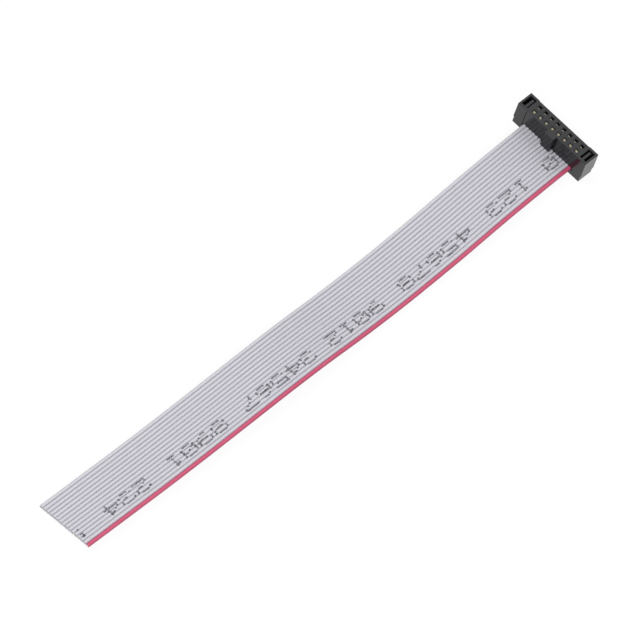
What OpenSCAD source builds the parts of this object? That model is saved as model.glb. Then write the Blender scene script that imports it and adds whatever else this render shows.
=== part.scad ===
// Ribbon cable with a two-row insulation displacement socket at one end and a bare cut at the other.
// Millimetres. +X runs along the cable away from the socket, +Y points to the red edge wire and +Z is the
// way the socket's mating face looks. The origin is the centre of the socket's base.

/* [Cable] */
// Number of wires, two for each column of contacts
wire_count = 16; // [10:2:20]
// Distance from one wire to the next, half the distance between contact columns
wire_pitch = 0.635; // [0.62:0.005:0.65]
// Diameter over one wire's insulation
wire_od = 0.66; // [0.63:0.01:0.7]
// Thickness of the web that bonds neighbouring wires
web_t = 0.3; // [0.2:0.01:0.36]
// Width of a stranded conductor across its flats
conductor_w = 0.3; // [0.24:0.01:0.34]

/* [Socket] */
// Distance between the two rows of contacts
row_pitch = 1.27; // [1.2:0.01:1.4]
// Width of the socket along the cable
socket_w = 3; // [2.9:0.05:3.4]
// Height from the base to the mating face
socket_h = 4.7; // [4.4:0.1:6]
// Length of the socket past the last column of contacts, at each end
end_length = 2.65; // [2.6:0.05:3.2]
// Height of the seam where the cover meets the housing
seam_z = 1.25; // [1.2:0.01:1.3]
// Height of the wires' axes where the socket grips them
grip_z = 1.05; // [1:0.01:1.08]
// Space between the cable's edge and each end block
cable_gap = 0.2; // [0.1:0.05:0.3]
// Depth by which the long faces lie back between the end blocks
face_recess = 0.12; // [0.05:0.01:0.2]
// Width of the polarising key
key_w = 1.8; // [1.2:0.1:2.4]
// Distance that the key stands out from the long face
key_d = 0.65; // [0.4:0.05:0.8]
// Chamfer on the upright corners
corner_cut = 0.06; // [0.04:0.02:0.3]
// Chamfer on the edges of the mating face
edge_cut = 0.05; // [0.03:0.01:0.15]

/* [Contact holes] */
// Width of the square opening for a pin
hole_w = 0.5; // [0.45:0.01:0.55]
// Distance that the lead-in widens the opening on each side
lead_in = 0.14; // [0.05:0.01:0.15]
// Thickness of the lip round the opening
lip_t = 0.2; // [0.15:0.01:0.4]
// Width of the cavity behind the lip, along the cable
cavity_w = 0.56; // [0.56:0.01:0.62]
// Width of the cavity behind the lip, along the row
cavity_l = 0.62; // [0.6:0.01:0.7]

/* [Contacts] */
// Thickness of the contact strip
strip_t = 0.15; // [0.1:0.01:0.18]
// Width of the spring leaf
leaf_w = 0.5; // [0.4:0.01:0.55]
// Distance that the leaf bows out towards the pin
leaf_bow = 0.2; // [0.12:0.01:0.22]
// Height of the slope at the leaf's tip, which leads the pin in
tip_slope = 0.15; // [0.1:0.01:0.25]
// Width of the blade that pierces the cable
blade_w = 0.76; // [0.7:0.01:0.8]
// Height of the tips of the tines
tine_tip_z = 0.45; // [0.4:0.01:0.55]
// Height of the blade's shoulder, which stops against the housing
shoulder_z = 1.95; // [1.8:0.05:2.1]
// Space between the blade and the slots that receive it
blade_gap = 0.03; // [0.01:0.01:0.05]

/* [Cover] */
// Distance of the cover's long faces behind the housing's
side_inset = 0.05; // [0.01:0.01:0.08]
// Distance of the cover's end faces behind the housing's
end_inset = 0.12; // [0.01:0.01:0.15]
// Thickness of a latch arm
arm_t = 0.6; // [0.4:0.05:0.6]
// Width of a latch arm
arm_w = 1.9; // [1.6:0.1:2]
// Space between a latch arm and the walls at its edges and its outer side
arm_gap = 0.1; // [0.05:0.01:0.12]
// Space between a latch arm and the wall at its inner side
arm_room = 0.18; // [0.05:0.01:0.2]
// Wall left outside the latch pocket
pocket_wall = 0.35; // [0.3:0.05:0.4]
// Width of the open part of the pocket, outside the arm
pocket_open = 0.45; // [0.4:0.05:0.5]
// Distance that the barb stands out from the arm
barb_d = 0.3; // [0.25:0.01:0.35]
// Height of the barb
barb_h = 0.7; // [0.5:0.05:0.9]
// Height of the ledge that holds the barb
ledge_z = 3.2; // [2.8:0.1:3.4]
// Distance of the arm's tip below the mating face
tip_drop = 0.25; // [0.1:0.05:0.4]
// Space round a wire in its guide groove
groove_gap = 0.01; // [0:0.01:0.02]
// Distance of the cover's ridges below the wires' axes
ridge_drop = 0.19; // [0.16:0.01:0.2]

/* [Hidden] */
$fn = 48;
column_count = wire_count / 2;
column_pitch = 2 * wire_pitch;
cable_w = (wire_count - 1) * wire_pitch + wire_od;
socket_l = (column_count - 1) * column_pitch + 2 * end_length;
channel_l = cable_w + 2 * cable_gap;
groove_r = wire_od / 2 + groove_gap;
pocket_out = socket_l / 2 - pocket_wall;
arm_out = pocket_out - pocket_open;
arm_in = arm_out - arm_t;
lip_z = socket_h - lip_t;
contact_x = (row_pitch - cavity_w) / 2;
tine_w = (blade_w - conductor_w) / 2;
// Space above a leaf's tip and below the tines' tips
tip_room = 0.06;
leaf_top_z = lip_z - tip_room;
relief_z = tine_tip_z - tip_room;
// Height of the blade above its slot
slot_web = 0.4;
slot_top_z = shoulder_z - slot_web;
// Height of the leaf's straight foot above the blade's shoulder
foot_h = 0.35;
leaf_foot_z = shoulder_z + foot_h;
// Distance by which a cut runs past a face, or a form reaches into the one that carries it
past = 0.5;

// Route of the cable's middle: along, across and up, then the roll in degrees that lifts the red edge.
// The first two stops lie straight through the socket. The last is the cut end.
route = [
    [-1.3, 0, grip_z, 0],
    [1.5, 0, grip_z, 0],
    [5, 0.1, 1.25, 0],
    [10, 0.3, 1.55, 0.5],
    [15, 0.45, 1.6, 1],
    [20, 0.6, 1.45, 1.5],
    [26, 0.75, 1.05, 2],
    [32, 0.85, 0.75, 3],
    [38, 0.95, 0.65, 3.5],
    [44, 1, 0.7, 4],
    [50, 1.05, 1.05, 4.5],
    [56, 1.1, 1.65, 5],
    [62, 1.15, 2, 5.5],
    [68, 1.15, 1.95, 6],
    [76, 1.1, 1.6, 6.5],
    [84, 1.05, 1.35, 6.5],
    [92, 0.95, 1.15, 6.5],
    [100, 0.8, 1.05, 6.5],
    [109, 0.6, 0.9, 6.5]
];

// Wire 1 is the red edge wire, at +Y
function wire_y(k) = ((wire_count + 1) / 2 - k) * wire_pitch;
function column_y(j) = ((column_count + 1) / 2 - j) * column_pitch;
function numbered(name, k) = str(name, k < 10 ? "_0" : "_", k);

// Sections are lists of [across, up] points, anticlockwise when seen from the cut end

// Angle at which a wire's round surface runs into the web
web_angle = asin(web_t / wire_od);

// Arc over or under one wire, four points from its +Y side if side is 1, or from its -Y side if it is -1
function rib_arc(y, side) = [
    for (t = [0 : 3])
        let (a = web_angle + t * (180 - 2 * web_angle) / 3)
        [y + side * cos(a) * wire_od / 2, side * sin(a) * wire_od / 2]
];

// Outline of the wires from first to last, which lie side by side. The last is at the -Y end.
// A free side ends in one point, and a side bonded to the next wire in two.
function ribbon_outline(first, last) = concat(
    first == 1 ? [[wire_y(first) + wire_od / 2, 0]] : [
        [wire_y(first) + wire_pitch / 2, -web_t / 2],
        [wire_y(first) + wire_pitch / 2, web_t / 2]
    ],
    [for (k = [first : last]) each rib_arc(wire_y(k), 1)],
    last == wire_count ? [[wire_y(last) - wire_od / 2, 0]] : [
        [wire_y(last) - wire_pitch / 2, web_t / 2],
        [wire_y(last) - wire_pitch / 2, -web_t / 2]
    ],
    [for (k = [last : -1 : first]) each rib_arc(wire_y(k), -1)]
);

// Seven strands lie six round one, so a conductor's outline is close to a hexagon
function conductor_outline(k) = [
    for (t = [0 : 5])
        [wire_y(k), 0] + conductor_w / 2 / cos(30) * [cos(30 + 60 * t), sin(30 + 60 * t)]
];

function ring(stop, outline) = [
    for (p = outline) [
        stop[0],
        stop[1] + p[0] * cos(stop[3]) - p[1] * sin(stop[3]),
        stop[2] + p[0] * sin(stop[3]) + p[1] * cos(stop[3])
    ]
];

function counted(first, count) = [for (i = [0 : count - 1]) first + i];
function reversed(list) = [for (i = [len(list) - 1 : -1 : 0]) list[i]];

// Triangles that join one loop of each ring to the next, facing out, or into a bore
function walls(loop, size, inward = false) = [
    for (i = [0 : len(route) - 2], j = [0 : len(loop) - 1])
        let (a = i * size + loop[j], b = i * size + loop[(j + 1) % len(loop)])
        each [
            inward ? [b, a + size, a] : [a, a + size, b],
            inward ? [b + size, a + size, b] : [b, a + size, b + size]
        ]
];

// Flat faces of the insulation round its bores. top and bottom give the place in the ring of an outline
// point of wire i, counted from the first wire, and bore gives that of a point of its bore.
function ribbon_cap(n, before, after) = let (
    top = function(i, t) before + 4 * i + t,
    bottom = function(i, t) before + 4 * n + after + 4 * (n - 1 - i) + t,
    bore = function(i, t) before + 8 * n + after + 6 * i + t,
    left = before + 4 * n
) concat(
    [for (i = [0 : n - 1]) each [
        [top(i, 0), bore(i, 0), bore(i, 5), bottom(i, 3)],
        [top(i, 0), top(i, 1), bore(i, 1), bore(i, 0)],
        [top(i, 1), top(i, 2), bore(i, 1)],
        [top(i, 2), top(i, 3), bore(i, 2), bore(i, 1)],
        [top(i, 3), bottom(i, 0), bore(i, 3), bore(i, 2)],
        [bottom(i, 0), bottom(i, 1), bore(i, 4), bore(i, 3)],
        [bottom(i, 1), bottom(i, 2), bore(i, 4)],
        [bottom(i, 2), bottom(i, 3), bore(i, 5), bore(i, 4)]
    ]],
    n < 2 ? [] : [for (i = [0 : n - 2]) [top(i, 3), top(i + 1, 0), bottom(i + 1, 3), bottom(i, 0)]],
    [before == 1 ? [0, top(0, 0), bottom(0, 3)] : [1, top(0, 0), bottom(0, 3), 0]],
    [after == 1 ? [top(n - 1, 3), left, bottom(n - 1, 0)]
        : [top(n - 1, 3), left, left + 1, bottom(n - 1, 0)]]
);

// Rectangle with its four corners cut off
module cut_rectangle(w, l, cut) {
    polygon([
        [-w / 2 + cut, -l / 2], [w / 2 - cut, -l / 2], [w / 2, -l / 2 + cut], [w / 2, l / 2 - cut],
        [w / 2 - cut, l / 2], [-w / 2 + cut, l / 2], [-w / 2, l / 2 - cut], [-w / 2, -l / 2 + cut]
    ]);
}

// Upright face outline from low to high, its two top corners cut off
module face_outline(w, low, high, cut) {
    polygon([
        [-w / 2, low], [w / 2, low], [w / 2, high - cut],
        [w / 2 - cut, high], [-w / 2 + cut, high], [-w / 2, high - cut]
    ]);
}

module box(x, y, z) {
    translate([x[0], y[0], z[0]]) cube([x[1] - x[0], y[1] - y[0], z[1] - z[0]]);
}

// Front row's contact about its own column. It pierces the wire half a pitch towards +Y.
blade_y = wire_pitch / 2;

module blade() {
    // Chamfer on the outer corner of each tip: in and up
    tip_cut = [0.1, 0.15];
    // Flare of the slot's mouth, which leads the wire in: out and up
    mouth = [0.05, 0.15];
    translate([contact_x, 0, 0]) rotate([90, 0, 90]) linear_extrude(strip_t) difference() {
        union() {
            polygon([
                [blade_y - blade_w / 2 + tip_cut[0], tine_tip_z],
                [blade_y + blade_w / 2 - tip_cut[0], tine_tip_z],
                [blade_y + blade_w / 2, tine_tip_z + tip_cut[1]],
                [blade_y + blade_w / 2, shoulder_z],
                [blade_y - blade_w / 2, shoulder_z],
                [blade_y - blade_w / 2, tine_tip_z + tip_cut[1]]
            ]);
            translate([-leaf_w / 2, shoulder_z]) square([leaf_w, foot_h]);
        }
        translate([blade_y - conductor_w / 2, tine_tip_z - past]) {
            square([conductor_w, slot_top_z - tine_tip_z + past]);
        }
        translate([blade_y, slot_top_z]) circle(d = conductor_w);
        polygon([
            [blade_y - conductor_w / 2 - mouth[0], tine_tip_z],
            [blade_y + conductor_w / 2 + mouth[0], tine_tip_z],
            [blade_y + conductor_w / 2, tine_tip_z + mouth[1]],
            [blade_y - conductor_w / 2, tine_tip_z + mouth[1]]
        ]);
    }
}

// The blade's two tines where they pass through the cable
module tines() {
    for (y = [blade_y - blade_w / 2, blade_y + conductor_w / 2]) {
        translate([contact_x, y, grip_z - past]) cube([strip_t, tine_w, 2 * past]);
    }
}

module leaf() {
    leaf_h = leaf_top_z - leaf_foot_z;
    // Share of the leaf's height where its bow is fullest
    full_at = 0.6;
    // Space between the leaf's tip and the cavity's inner wall
    tip_gap = 0.02;
    // Back of the strip from its foot to its tip: out from the cavity's inner wall, and up
    back = [
        [0, -strip_t],
        [0, 0],
        [leaf_bow, leaf_h * full_at],
        [leaf_bow, leaf_h - tip_slope],
        [tip_gap, leaf_h]
    ];
    front = [for (p = back) p + [strip_t, 0]];
    translate([contact_x, leaf_w / 2, leaf_foot_z]) rotate([90, 0, 0]) linear_extrude(leaf_w) {
        polygon(concat(back, reversed(front)));
    }
}

// Odd wires go to the row on the cable side, even wires to the other row, where the contact is turned round
module at_contact(k) {
    translate([0, column_y(ceil(k / 2)), 0]) rotate([0, 0, k % 2 == 1 ? 0 : 180]) children();
}

// Space for one contact in the housing: lead-in, opening, cavity and the blade's slot
module contact_space() {
    row_x = row_pitch / 2;
    funnel_w = hole_w + 2 * (lead_in + past);
    funnel = [[-hole_w / 2, -lead_in], [hole_w / 2, -lead_in], [funnel_w / 2, past], [-funnel_w / 2, past]];
    box([row_x - hole_w / 2, row_x + hole_w / 2], [-hole_w / 2, hole_w / 2], [shoulder_z, socket_h + past]);
    translate([row_x, 0, socket_h]) intersection() {
        rotate([90, 0, 0]) linear_extrude(funnel_w, center = true) polygon(funnel);
        rotate([90, 0, 90]) linear_extrude(funnel_w, center = true) polygon(funnel);
    }
    box([row_x - cavity_w / 2, row_x + cavity_w / 2], [-cavity_l / 2, cavity_l / 2], [shoulder_z, lip_z]);
    box([contact_x, contact_x + strip_t + blade_gap],
        [blade_y - blade_w / 2 - blade_gap, blade_y + blade_w / 2 + blade_gap], [seam_z - past, shoulder_z]);
}

module grooves() {
    for (k = [1 : wire_count]) {
        translate([0, wire_y(k), grip_z]) rotate([0, 90, 0]) {
            cylinder(r = groove_r, h = socket_w + 2 * past, center = true);
        }
    }
}

module at_both_ends() {
    children();
    rotate([0, 0, 180]) children();
}

// Places of the recessed long faces and of the key's face
recess_x = socket_w / 2 - face_recess;
key_x = socket_w / 2 + key_d;
// Space between the key's underside and the wires where the socket grips them, as they rise under it
key_room = 0.08;
key_foot_z = grip_z + wire_od / 2 + key_room;

module socket_housing() {
    color("#2b2b2e") difference() {
        union() {
            difference() {
                intersection() {
                    translate([0, 0, seam_z]) {
                        linear_extrude(socket_h - seam_z) cut_rectangle(socket_w, socket_l, corner_cut);
                    }
                    rotate([90, 0, 0]) linear_extrude(socket_l + 2 * past, center = true) {
                        face_outline(socket_w, seam_z, socket_h, edge_cut);
                    }
                    rotate([90, 0, 90]) linear_extrude(socket_w + 2 * past, center = true) {
                        face_outline(socket_l, seam_z, socket_h, edge_cut);
                    }
                }
                at_both_ends() {
                    box([recess_x, socket_w], [-channel_l / 2, channel_l / 2],
                        [seam_z - past, socket_h + past]);
                }
            }
            // Polarising key on the cable side
            rotate([90, 0, 0]) linear_extrude(key_w, center = true) polygon([
                [recess_x - past, key_foot_z],
                [key_x, key_foot_z],
                [key_x, socket_h - edge_cut],
                [key_x - edge_cut, socket_h],
                [recess_x - past, socket_h]
            ]);
        }
        grooves();
        for (k = [1 : wire_count]) at_contact(k) contact_space();
        at_both_ends() {
            box([-arm_w / 2 - arm_gap, arm_w / 2 + arm_gap], [arm_in - arm_room, arm_out + arm_gap],
                [seam_z - past, socket_h + past]);
            box([-arm_w / 2 - arm_gap, arm_w / 2 + arm_gap], [arm_in - arm_room, pocket_out],
                [ledge_z, socket_h + past]);
        }
    }
}

module cover() {
    arm_top_z = socket_h - tip_drop;
    // Chamfer on the arm's tip
    arm_cut = 0.1;
    // Share of the barb's height below its slope
    barb_flat = 0.3;
    color("#2b2b2e") {
        difference() {
            linear_extrude(seam_z) {
                cut_rectangle(socket_w - 2 * side_inset, socket_l - 2 * end_inset, corner_cut);
            }
            // Channel for the cable, its floor raised to ridges between the wires
            box([-socket_w, socket_w], [-channel_l / 2, channel_l / 2], [grip_z - ridge_drop, seam_z + past]);
            grooves();
            for (k = [1 : wire_count]) at_contact(k) {
                box([contact_x - blade_gap, contact_x + strip_t + blade_gap],
                    [blade_y - blade_w / 2 - blade_gap, blade_y + blade_w / 2 + blade_gap],
                    [relief_z, seam_z + past]);
            }
        }
        // Latch arms with a barb on the outer side
        at_both_ends() {
            rotate([90, 0, 90]) linear_extrude(arm_w, center = true) polygon([
                [arm_in, seam_z - past],
                [arm_out, seam_z - past],
                [arm_out, ledge_z],
                [arm_out + barb_d, ledge_z],
                [arm_out + barb_d, ledge_z + barb_h * barb_flat],
                [arm_out, ledge_z + barb_h],
                [arm_out, arm_top_z - arm_cut],
                [arm_out - arm_cut, arm_top_z],
                [arm_in + arm_cut, arm_top_z],
                [arm_in, arm_top_z - arm_cut]
            ]);
        }
    }
}

module contact(k) {
    color("#c9b27a") at_contact(k) {
        blade();
        leaf();
    }
}

module conductor(k) {
    outline = conductor_outline(k);
    n = len(outline);
    loop = counted(0, n);
    color("#b9babd") polyhedron(
        [for (stop = route) each ring(stop, outline)],
        concat([loop], walls(loop, n), [reversed(counted((len(route) - 1) * n, n))])
    );
}

// Insulation of the wires from first to last, with a bore for each conductor and cuts for the tines
module insulation(first, last) {
    n = last - first + 1;
    before = first == 1 ? 1 : 2;
    after = last == wire_count ? 1 : 2;
    outline = ribbon_outline(first, last);
    bores = [for (k = [first : last]) each conductor_outline(k)];
    edge = len(outline);
    size = edge + len(bores);
    cap = ribbon_cap(n, before, after);
    difference() {
        polyhedron(
            [for (stop = route) each ring(stop, concat(outline, bores))],
            concat(
                cap,
                walls(counted(0, edge), size),
                [for (i = [0 : n - 1]) each walls(counted(edge + 6 * i, 6), size, true)],
                [for (face = cap) reversed([for (p = face) p + (len(route) - 1) * size])]
            )
        );
        for (k = [max(first - 1, 1) : min(last + 1, wire_count)]) at_contact(k) tines();
    }
}

module ribbon_insulation() {
    color("#c9c8ce") insulation(2, wire_count);
}

module red_edge_insulation() {
    color("#d8587a") insulation(1, 1);
}

socket_housing();
cover();
ribbon_insulation();
red_edge_insulation();
for (k = [1 : wire_count]) {
    contact(k);
    conductor(k);
}
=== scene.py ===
import math
import random

import bmesh
import bpy
from mathutils import Matrix, Vector


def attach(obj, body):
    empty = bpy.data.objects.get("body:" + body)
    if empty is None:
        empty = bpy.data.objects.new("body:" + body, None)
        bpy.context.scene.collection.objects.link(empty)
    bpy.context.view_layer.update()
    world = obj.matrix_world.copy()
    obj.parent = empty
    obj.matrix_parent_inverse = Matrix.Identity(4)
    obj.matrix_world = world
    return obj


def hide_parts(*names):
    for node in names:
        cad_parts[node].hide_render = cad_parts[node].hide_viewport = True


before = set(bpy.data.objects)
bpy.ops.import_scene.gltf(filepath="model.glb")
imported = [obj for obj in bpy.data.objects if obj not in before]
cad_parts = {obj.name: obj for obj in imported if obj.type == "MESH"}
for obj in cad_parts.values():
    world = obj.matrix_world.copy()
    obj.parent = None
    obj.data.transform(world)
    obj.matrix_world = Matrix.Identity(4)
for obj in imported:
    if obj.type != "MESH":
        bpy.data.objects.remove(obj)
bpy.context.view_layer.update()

# Camera. A long lens looks down on the cable from beyond its cut end and its red edge, so the ribbon runs
# from the lower left to the socket at the upper right and shows hardly any perspective.
mm = 0.001
camera_distance = 4.0
camera_aim = Vector((37.016, -7.432, -21.668)) * mm
camera_forward = Vector((-0.526059, -0.252962, -0.811956)).normalized()
camera_right = Vector((-0.672096, 0.708665, 0.214663))
camera_up = camera_right.cross(camera_forward).normalized()
camera_right = camera_forward.cross(camera_up)
camera = bpy.data.objects.new("camera", bpy.data.cameras.new("camera"))
bpy.context.scene.collection.objects.link(camera)
camera.data.sensor_width = 36
camera.data.lens = 1496.73
camera.data.clip_end = 20
turn = Matrix((camera_right, camera_up, -camera_forward)).transposed().to_4x4()
camera.matrix_world = Matrix.Translation(camera_aim - camera_distance * camera_forward) @ turn
bpy.context.scene.camera = camera

# Grey ribbon insulation. Fifteen of the sixteen wires share one soft PVC extrusion, round over each wire and
# joined by a thin web. It comes straight out of the socket and lies on the table in low waves, cut square
# at the far end, with the red edge a little higher than the grey one.
wire_count = 16
wire_pitch = 0.635 * mm
wire_radius = 0.33 * mm
web_half = 0.15 * mm
# Along, across, up in millimetres and the roll in degrees
route = [
    (-1.3, 0, 1.05, 0),
    (1.5, 0, 1.05, 0),
    (5, 0.1, 1.25, 0),
    (10, 0.3, 1.55, 0.5),
    (15, 0.45, 1.6, 1),
    (20, 0.6, 1.45, 1.5),
    (26, 0.75, 1.05, 2),
    (32, 0.85, 0.75, 3),
    (38, 0.95, 0.65, 3.5),
    (44, 1, 0.7, 4),
    (50, 1.05, 1.05, 4.5),
    (56, 1.1, 1.65, 5),
    (62, 1.15, 2, 5.5),
    (68, 1.15, 1.95, 6),
    (76, 1.1, 1.6, 6.5),
    (84, 1.05, 1.35, 6.5),
    (92, 0.95, 1.15, 6.5),
    (100, 0.8, 1.05, 6.5),
    (109, 0.6, 0.9, 6.5),
]
# The socket holds the cable straight between the first two stops
held_stops = 2
cable_end = route[-1][0] * mm
# Stations are the cross-sections that the insulation is drawn through, this many millimetres apart
station_step = 1.103
station_count = 99
last_station = 108.2 * mm
stations = [(route[0][0] + i * station_step) * mm for i in range(station_count)] + [last_station, cable_end]
# Points this near to a station, in metres, are on it
at_station = 1e-7


def wire_y(number):
    """How far across the ribbon the axis of a wire lies. Wire 1 is the red one."""
    return ((wire_count + 1) / 2 - number) * wire_pitch


def slope(stop, value):
    """How fast a value of the route changes at a stop."""
    if stop < held_stops:
        return 0
    before, after = route[stop - 1], route[min(stop + 1, len(route) - 1)]
    return (after[value] - before[value]) / (after[0] - before[0])


def route_at(x):
    """Across, up and roll of the ribbon's middle at x, on a smooth curve through the stops."""
    stop = max(i for i in range(len(route) - 1) if i == 0 or route[i][0] * mm <= x)
    start, end = route[stop], route[stop + 1]
    span = end[0] - start[0]
    t = (x / mm - start[0]) / span
    found = []
    for value in (1, 2, 3):
        found.append(
            (2 * t**3 - 3 * t**2 + 1) * start[value]
            + (t**3 - 2 * t**2 + t) * span * slope(stop, value)
            + (3 * t**2 - 2 * t**3) * end[value]
            + (t**3 - t**2) * span * slope(stop + 1, value)
        )
    return found[0] * mm, found[1] * mm, math.radians(found[2])


def on_cable(x, across, up):
    """The point at a place of the cable's cross-section, x along it."""
    y, z, roll = route_at(x)
    return Vector((
        x,
        y + across * math.cos(roll) - up * math.sin(roll),
        z + across * math.sin(roll) + up * math.cos(roll),
    ))


def wire_arc(number, side, steps=8):
    """The round surface over (side 1) or under (side -1) one wire, as [across, up] points."""
    y = wire_y(number)
    lean = math.asin(web_half / wire_radius)
    angles = [lean + (math.pi - 2 * lean) * i / steps for i in range(steps + 1)]
    return [(y + side * math.cos(a) * wire_radius, side * math.sin(a) * wire_radius) for a in angles]


def add_piece(name, bm):
    """Makes an object of a finished bmesh."""
    piece = bpy.data.objects.new(name, bpy.data.meshes.new(name))
    bm.to_mesh(piece.data)
    bm.free()
    bpy.context.scene.collection.objects.link(piece)
    return piece


def sweep(name, outline):
    """Draws the outline once and extrudes it from station to station along the cable."""
    bm = bmesh.new()
    across = bm.verts.layers.float.new("across")
    up = bm.verts.layers.float.new("up")
    ring = []
    for point in outline:
        vert = bm.verts.new(on_cable(stations[0], *point))
        vert[across], vert[up] = point
        ring.append(vert)
    edges = [bm.edges.new((a, b)) for a, b in zip(ring, ring[1:] + ring[:1])]
    ends = list(edges)
    for x in stations[1:]:
        grown = bmesh.ops.extrude_edge_only(bm, edges=edges)["geom"]
        for vert in grown:
            if isinstance(vert, bmesh.types.BMVert):
                vert.co = on_cable(x, vert[across], vert[up])
        edges = [e for e in grown if isinstance(e, bmesh.types.BMEdge)]
        edges = [e for e in edges if all(abs(v.co.x - x) < at_station for v in e.verts)]
    for face in bm.faces:
        face.smooth = True
    for loop in (ends, edges):
        bmesh.ops.edgeloop_fill(bm, edges=loop)
        for edge in loop:
            edge.smooth = False
    bmesh.ops.recalc_face_normals(bm, faces=bm.faces)
    # Extruding leaves the edges and faces in an order that changes from run to run, so it is set here
    bm.verts.index_update()
    for parts in (bm.edges, bm.faces):
        corners = {part: sorted(vert.index for vert in part.verts) for part in parts}
        parts.sort(key=lambda part: corners[part][0] * len(bm.verts) + corners[part][-1])
    # How high a point stands on its rib, from 0 in the valley to 1 on the crest, which also sets the painted
    # shade in the valleys
    crest = bm.verts.layers.float.new("crest")
    for vert in bm.verts:
        vert[crest] = (abs(vert[up]) - web_half) / (wire_radius - web_half)
    return add_piece(name, bm)


def linear(hex_colour):
    """An sRGB hex colour as the linear RGBA that shaders take."""
    parts = [int(hex_colour[i:i + 2], 16) / 255 for i in (1, 3, 5)]
    return [c / 12.92 if c <= 0.04045 else ((c + 0.055) / 1.055) ** 2.4 for c in parts] + [1]


def set_inputs(node, inputs):
    """Gives each named input of a node a value or a link."""
    for name, value in inputs.items():
        if isinstance(value, bpy.types.NodeSocket):
            node.id_data.links.new(value, node.inputs[name])
        else:
            node.inputs[name].default_value = value


def add_node(material, kind, inputs, **settings):
    """Adds a node and sets its properties and its inputs."""
    node = material.node_tree.nodes.new(kind)
    for name, value in settings.items():
        setattr(node, name, value)
    set_inputs(node, inputs)
    return node


def object_place(material):
    """The place on the object, in metres."""
    return add_node(material, "ShaderNodeTexCoord", {}).outputs["Object"]


def stretched(material, place, scale):
    """A place with each of its three directions scaled."""
    return add_node(material, "ShaderNodeMapping", {"Vector": place, "Scale": scale}).outputs["Vector"]


def noise(material, place, scale, detail):
    """Soft noise around 0.5, with about one patch to each 1 / scale of a metre."""
    node = add_node(material, "ShaderNodeTexNoise", {"Vector": place, "Scale": scale, "Detail": detail})
    return node.outputs["Fac"]


def ramp(material, value, low, high, to_low=0, to_high=1, **settings):
    """Turns low to high into to_low to to_high, and holds what is past them at the ends."""
    node = add_node(material, "ShaderNodeMapRange", {
        "Value": value, "From Min": low, "From Max": high, "To Min": to_low, "To Max": to_high}, **settings)
    return node.outputs["Result"]


def mix(material, factor, first, second):
    """Goes from the first colour to the second as the factor rises. Each is a hex colour or a link."""
    first, second = [linear(c) if isinstance(c, str) else c for c in (first, second)]
    # Inputs 6 and 7 and output 2 are the ones for colour
    return add_node(material, "ShaderNodeMix", {
        "Factor": factor, 6: first, 7: second}, data_type="RGBA").outputs[2]


def bump(material, height, strength, depth):
    """Relief of a given depth, in metres."""
    node = add_node(material, "ShaderNodeBump", {"Height": height, "Strength": strength, "Distance": depth})
    return node.outputs["Normal"]


def new_material(name, **shader_values):
    """A material with the plain values of its shader set, and the shader."""
    material = bpy.data.materials.new(name)
    material.use_nodes = True
    shader = material.node_tree.nodes["Principled BSDF"]
    set_inputs(shader, {socket.replace("_", " "): value for socket, value in shader_values.items()})
    return material, shader


def flexible_pvc(name, crest_colour, valley_shade_colour, streak_colour):
    """Plasticised PVC, extruded: a semi-gloss skin and faint draw lines along the wires. The valleys between
    the ribs get painted shade, from the crest colour down to the darker valley colour."""
    pvc, shader = new_material(
        name, Roughness=0.42, IOR=1.53, Subsurface_Weight=0.08, Subsurface_Scale=1,
        Subsurface_Radius=(0.4 * mm, 0.35 * mm, 0.35 * mm))
    place = object_place(pvc)
    along = add_node(pvc, "ShaderNodeSeparateXYZ", {"Vector": place}).outputs["X"]
    across, up, crest = [
        add_node(pvc, "ShaderNodeAttribute", {}, attribute_name=layer).outputs["Fac"]
        for layer in ("across", "up", "crest")]
    # Draw lines follow the wires: 40 mm long and 0.12 mm wide
    section = add_node(pvc, "ShaderNodeCombineXYZ", {"X": along, "Y": across, "Z": up}).outputs["Vector"]
    lines = noise(pvc, stretched(pvc, section, (25, 8000, 8000)), 1, 1)
    # Clouding of the compound: patches of about 6 mm
    cloud = noise(pvc, place, 160, 3)
    # Painted shade: the colour darkens from the crest colour to the valley colour down into each valley
    height = ramp(pvc, crest, 0.05, 0.85, interpolation_type="SMOOTHSTEP")
    body = mix(pvc, height, valley_shade_colour, crest_colour)
    streaked = mix(pvc, ramp(pvc, lines, 0.4, 0.75, 0, 0.25), body, streak_colour)
    set_inputs(shader, {
        "Base Color": mix(pvc, ramp(pvc, cloud, 0.35, 0.8, 0, 0.22), streaked, streak_colour),
        "Roughness": ramp(pvc, lines, 0.3, 0.7, 0.36, 0.5),
        "Normal": bump(pvc, lines, 0.25, 0.02 * mm)})
    return pvc


outline = [(wire_y(2) + wire_pitch / 2, -web_half), (wire_y(2) + wire_pitch / 2, web_half)]
for number in range(2, wire_count + 1):
    outline += wire_arc(number, 1)
outline.append((wire_y(wire_count) - wire_radius, 0))
for number in range(wire_count, 1, -1):
    outline += wire_arc(number, -1)
ribbon = sweep("grey_insulation", outline)
# Crest, valley and streak colours, where the valley colour is painted shade
ribbon.data.materials.append(flexible_pvc("light grey flexible PVC", "#d1d0d6", "#a3a1af", "#c2c1c9"))
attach(ribbon, "root")
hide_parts("ribbon_insulation")

# Red edge insulation. Wire 1 has its own pinkish red PVC, run together with the grey while both are hot, to
# show which edge of the cable goes to pin 1.
outline = [(wire_y(1) + wire_radius, 0)] + wire_arc(1, 1)
outline += [(wire_y(1) - wire_pitch / 2, web_half), (wire_y(1) - wire_pitch / 2, -web_half)] + wire_arc(1, -1)
red_edge = sweep("red_insulation", outline)
# Crest, valley and streak colours, where the valley colour is painted shade
red_edge.data.materials.append(flexible_pvc("pinkish red flexible PVC", "#cb4b6d", "#9c3453", "#d4688b"))
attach(red_edge, "root")
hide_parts("red_edge_insulation")

# Stranded conductors. Each wire holds seven fine tinned copper strands, six twisted round one. The shears
# leave their ends bright and a little uneven in the square cut. The rest of them lies unseen inside the PVC.
strands_per_wire = 7
strand_radius = 0.05 * mm
strand_stub = 0.6 * mm
strand_taper = 0.93
# How far a strand may stand out of the cut, in millimetres
strand_reach = (0.03, 0.12)
sixth_turn = math.pi / 3


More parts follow.
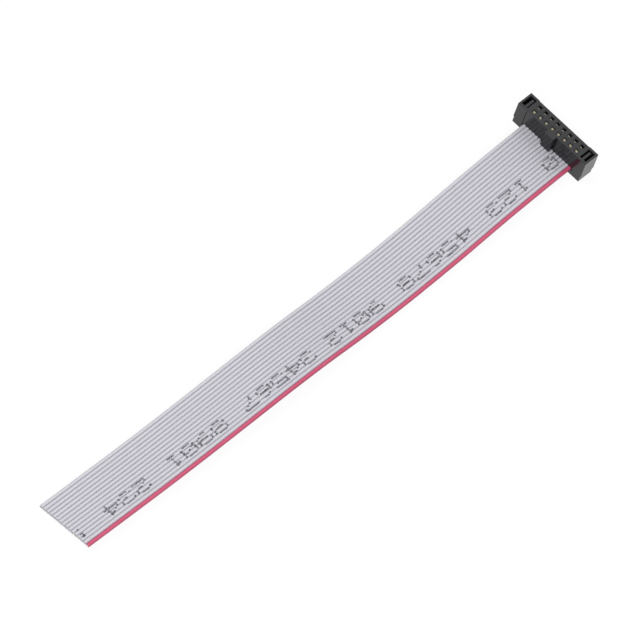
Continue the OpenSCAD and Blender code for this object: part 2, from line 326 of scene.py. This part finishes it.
def coat(piece, material):
    """Gives a CAD piece one material in place of its own."""
    piece.data.materials.clear()
    piece.data.materials.append(material)


random.seed(16)
bm = bmesh.new()
for number in range(1, wire_count + 1):
    twist = random.uniform(0, sixth_turn)
    for strand in range(strands_per_wire):
        reach = 2 * strand_radius if strand else 0
        angle = twist + strand * sixth_turn
        proud = random.uniform(*strand_reach) * mm
        end = on_cable(cable_end, wire_y(number) + reach * math.cos(angle), reach * math.sin(angle))
        middle = Matrix.Translation(end + Vector(((proud - strand_stub) / 2, 0, 0)))
        bmesh.ops.create_cone(
            bm, cap_ends=True, segments=10, radius1=strand_radius, radius2=strand_radius * strand_taper,
            depth=strand_stub + proud, matrix=middle @ Matrix.Rotation(math.pi / 2, 4, "Y"))
strands = add_piece("strand_ends", bm)
# Tinned copper, freshly sheared: pale grey tin, a little copper laid bare by the cut, fine drag lines
tinned, shader = new_material("tinned copper strand", Metallic=1, Roughness=0.35)
drag = noise(tinned, object_place(tinned), 9000, 2)
set_inputs(shader, {
    "Base Color": mix(tinned, drag, "#c9bfb6", "#e4e4e2"),
    "Normal": bump(tinned, drag, 0.3, 0.01 * mm)})
strands.data.materials.append(tinned)
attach(strands, "root")
conductors = [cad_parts["conductor_%02d" % number] for number in range(1, wire_count + 1)]
for conductor in conductors:
    coat(conductor, tinned)

# Printed marks. An ink-jet head writes wide numerals, seven dots high, on the moving cable: a plain running
# count with blanks between the groups. The dots follow the ribs and come out a little uneven.
digit_rows = {
    "0": ("01110", "10001", "10011", "10101", "11001", "10001", "01110"),
    "1": ("00100", "01100", "00100", "00100", "00100", "00100", "01110"),
    "2": ("01110", "10001", "00001", "00110", "01000", "10000", "11111"),
    "3": ("01110", "10001", "00001", "00110", "00001", "10001", "01110"),
    "4": ("00010", "00110", "01010", "10010", "11111", "00010", "00010"),
    "5": ("11111", "10000", "11110", "00001", "00001", "10001", "01110"),
    "6": ("00110", "01000", "10000", "11110", "10001", "10001", "01110"),
    "7": ("11111", "00001", "00010", "00100", "01000", "01000", "01000"),
    "8": ("01110", "10001", "10001", "01110", "10001", "10001", "01110"),
    "9": ("01110", "10001", "10001", "01111", "00001", "00010", "01100"),
}
digit_pitch = 3.22 * mm
column_step = 0.6 * mm
row_step = 0.3 * mm
middle_row = 3
print_middle = 2.45 * mm
print_start = 1.8 * mm
print_end = cable_end - 0.3 * mm
dot_radius = 0.18 * mm
dot_sizes = (0.8, 1.1)
# The moving cable draws the dots out along it, and they stray a little
long_by = 1.25
wide_by = 0.8
stray_along = 0.03 * mm
stray_across = 0.02 * mm
ink_height = 0.012 * mm
# Where each group of numerals starts along the cable, in millimetres, and how many it has
groups = ((2.2, 1), (9.0, 3), (22.4, 5), (42.2, 4), (57.8, 5), (77.2, 4), (93.9, 3), (108.2, 1))


def skin_height(across):
    """Height of the ribbon's upper surface above its middle, across a rib."""
    offset = (across / wire_pitch) % 1 - 0.5
    rise = wire_radius**2 - (offset * wire_pitch) ** 2
    return max(math.sqrt(max(rise, 0)), web_half)


def add_dot(bm, x, across, radius):
    """Adds one dot of ink, pressed onto the ribs."""
    dot = bmesh.ops.create_circle(bm, cap_ends=True, cap_tris=True, segments=10, radius=1)
    for vert in dot["verts"]:
        vert_x = x + vert.co.x * radius * long_by
        vert_across = across + vert.co.y * radius * wide_by
        vert.co = on_cable(vert_x, vert_across, skin_height(vert_across) + ink_height)


def add_numeral(bm, rows, x_start):
    """Adds one numeral, dot by dot."""
    for row, line in enumerate(rows):
        # Every second column is a half step, with a dot where the dots before and after it are both set
        for half in range(2 * len(line) - 1):
            x = x_start + half * column_step / 2 + random.gauss(0, stray_along)
            across = print_middle + (middle_row - row) * row_step + random.gauss(0, stray_across)
            radius = dot_radius * random.uniform(*dot_sizes)
            inked = "0" not in line[half // 2:(half + 3) // 2]
            if inked and print_start <= x <= print_end:
                add_dot(bm, x, across, radius)


bm = bmesh.new()
count = 0
for start, length in groups:
    for place_in_group in range(length):
        add_numeral(bm, digit_rows[str(count % 10)], start * mm + place_in_group * digit_pitch)
        count += 1
bmesh.ops.recalc_face_normals(bm, faces=bm.faces)
for face in bm.faces:
    if face.normal.z < 0:
        face.normal_flip()
marks = add_piece("printed_numerals", bm)
# Solvent ink, jetted: thin dark grey dots, weaker where the jet was starved
ink, shader = new_material("jetted solvent ink", Roughness=0.6)
starved = noise(ink, object_place(ink), 1500, 2)
set_inputs(shader, {"Base Color": mix(ink, ramp(ink, starved, 0.35, 0.75), "#525259", "#92929b")})
marks.data.materials.append(ink)
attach(marks, "root")

# Socket housing and cover. Glass-filled polyester, injection moulded black: a satin face with the fine
# grain of the mould and faint flow patches. The cover snaps up into the housing by its arms.
plastic, shader = new_material("black glass-filled PBT", Roughness=0.2, IOR=1.46)
place = object_place(plastic)
# Mould grain of 0.08 mm and flow patches of 2 mm
grain = noise(plastic, place, 12000, 2)
flow = noise(plastic, place, 500, 4)
set_inputs(shader, {
    "Base Color": mix(plastic, ramp(plastic, flow, 0.3, 0.7), "#131417", "#1b1c20"),
    "Roughness": ramp(plastic, flow, 0.3, 0.7, 0.14, 0.26),
    "Normal": bump(plastic, grain, 0.2, 0.01 * mm)})
for name in ("socket_housing", "cover"):
    coat(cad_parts[name], plastic)

# Contacts. Phosphor bronze strip, stamped and formed, with a thin flash of gold over nickel. One leaf of
# each springs against the pin inside its hole, and the forked foot cuts into its wire.
bronze, shader = new_material("gold-flashed phosphor bronze", Metallic=1, Roughness=0.28)
# Rolling marks run up the strip, 0.05 mm apart
rolling = noise(bronze, stretched(bronze, object_place(bronze), (20000, 20000, 600)), 1, 2)
# Painted shade: the tones are gold-flashed bronze darkened to stand for the shade deep in each hole
set_inputs(shader, {
    "Base Color": mix(bronze, rolling, "#908974", "#b9b29c"),
    "Normal": bump(bronze, rolling, 0.2, 0.01 * mm)})
for number in range(1, wire_count + 1):
    coat(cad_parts["contact_%02d" % number], bronze)

# Studio. The cable lies on white paper under a white sky and three soft lamps. To the camera and in a gloss
# the paper and the sky are plain white, and the cable leaves a soft, faint shadow on the paper.
floor_size = 3.0
paper_glow = 0.86
paper_white = 1.04
sky_as_light = 0.5
cable_middle = Vector((0.05, 0, 0))


def looked_at(owner):
    """1 for the rays that look at a thing straight, in a gloss or through glass, and 0 for the rays that
    light it."""
    rays = add_node(owner, "ShaderNodeLightPath", {})
    gloss = add_node(owner, "ShaderNodeMath", {
        0: rays.outputs["Is Glossy Ray"], 1: rays.outputs["Is Transmission Ray"]}, operation="MAXIMUM")
    seen = add_node(owner, "ShaderNodeMath", {
        0: rays.outputs["Is Camera Ray"], 1: gloss.outputs[0]}, operation="MAXIMUM")
    return seen.outputs[0]


def soft_box(name, place, size, watts):
    """A square lamp that looks at the middle of the cable."""
    lamp = bpy.data.objects.new(name, bpy.data.lights.new(name, "AREA"))
    lamp.data.size = size
    lamp.data.energy = watts
    lamp.location = place
    lamp.rotation_euler = (cable_middle - lamp.location).to_track_quat("-Z", "Y").to_euler()
    bpy.context.scene.collection.objects.link(lamp)


bm = bmesh.new()
bmesh.ops.create_grid(bm, x_segments=1, y_segments=1, size=floor_size)
floor = add_piece("floor", bm)
paper, shader = new_material("matt white paper", Roughness=0.9, Base_Color=linear("#f2f2f2"))
# Part of the white is the paper's own glow, and the rest still takes the shadow
glow = add_node(paper, "ShaderNodeMath", {0: looked_at(paper), 1: paper_glow}, operation="MULTIPLY")
white = add_node(paper, "ShaderNodeEmission", {"Color": (1, 1, 1, 1), "Strength": paper_white})
shown = add_node(paper, "ShaderNodeMixShader", {
    0: glow.outputs[0], 1: shader.outputs["BSDF"], 2: white.outputs["Emission"]})
set_inputs(paper.node_tree.nodes["Material Output"], {"Surface": shown.outputs["Shader"]})
floor.data.materials.append(paper)

sky = bpy.data.worlds.new("studio")
bpy.context.scene.world = sky
sky.use_nodes = True
# The sky is white to look at, and half as strong as a light
set_inputs(sky.node_tree.nodes["Background"], {
    "Color": (1, 1, 1, 1), "Strength": ramp(sky, looked_at(sky), 0, 1, sky_as_light, 1)})

soft_box("key_lamp", Vector((0.75, 0.65, 0.6)), 0.6, 6.5)
soft_box("top_lamp", Vector((0.3, -0.6, 0.9)), 0.8, 3.6)
soft_box("sheen_lamp", Vector((-0.53, -0.25, 0.81)), 0.8, 1.0)
bpy.context.scene.view_settings.view_transform = "Standard"
